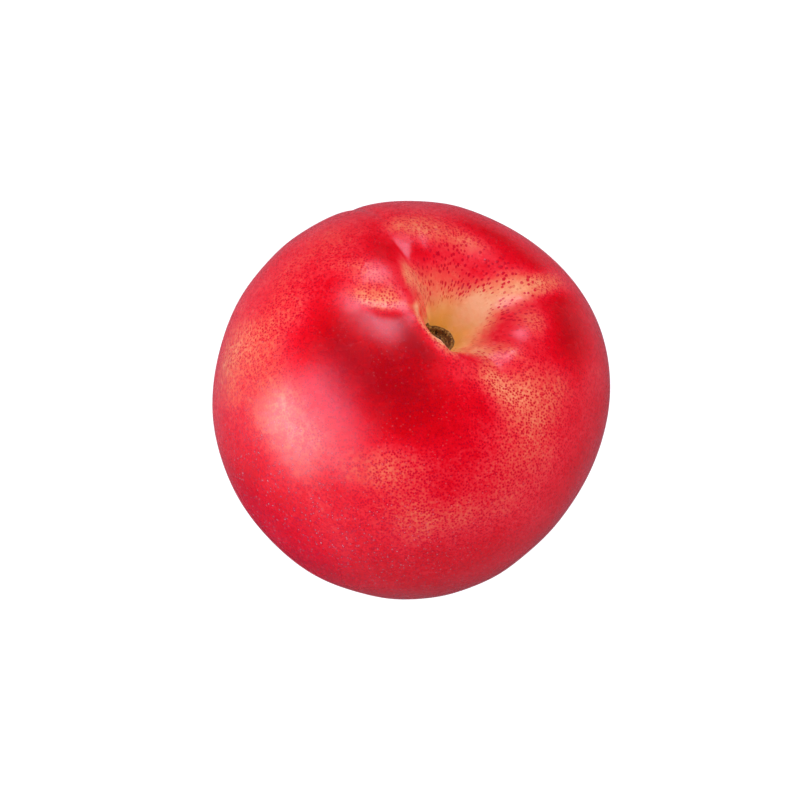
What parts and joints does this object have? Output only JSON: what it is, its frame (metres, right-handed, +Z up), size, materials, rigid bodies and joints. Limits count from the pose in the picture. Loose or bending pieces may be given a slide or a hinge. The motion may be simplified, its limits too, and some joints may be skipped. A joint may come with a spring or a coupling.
{
  "type": "nectarine",
  "caption": "Whole ripe nectarine with a deep lopsided stem hollow, a shallow suture and a small flat spot it rests on.",
  "frame": {"origin": "middle of the underside of the bounding box, on the surface the fruit rests on", "axes": "+Z up; the fruit's own axis, from blossom end to stem scar, leans 12.6 degrees from +Z towards +X; the suture runs down the +Y side, a little towards -X"},
  "size_m": [0.0696, 0.0704, 0.0631],
  "materials": {
    "nectarine_skin": "smooth waxy fruit skin, red blush with dark speckles over a golden ground that shows in the stem hollow"
  },
  "bodies": {
    "root": {"nectarine": "nectarine_skin"}
  },
  "joints": []
}
